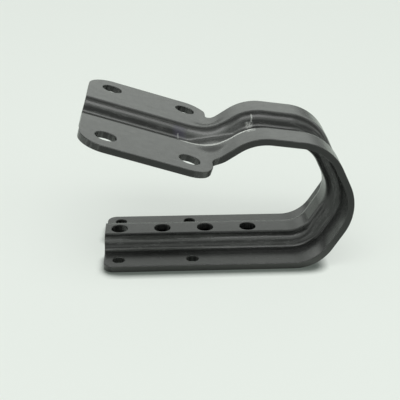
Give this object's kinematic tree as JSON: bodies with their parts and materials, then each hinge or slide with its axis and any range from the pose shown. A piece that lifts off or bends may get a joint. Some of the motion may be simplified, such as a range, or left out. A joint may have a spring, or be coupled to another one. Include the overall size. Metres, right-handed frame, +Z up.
{
  "type": "stamped metal bracket",
  "caption": "Pressed steel strip bent into an open hook with a stiffening rib, a flat arm with bolt holes below and a wide sloping mounting pad above.",
  "frame": {"origin": "centre of the four flange holes of the lower arm, in the plane of its underside", "axes": "+X along the lower arm towards the closed side of the hook, +Z up out of the arm towards the pad, Y across the strip with the mid plane at Y = 0"},
  "size_m": [0.1437, 0.1036, 0.0845],
  "materials": {
    "black_paint": "thin satin black paint over pressed steel"
  },
  "bodies": {
    "root": {"bracket": "black_paint"}
  },
  "joints": []
}
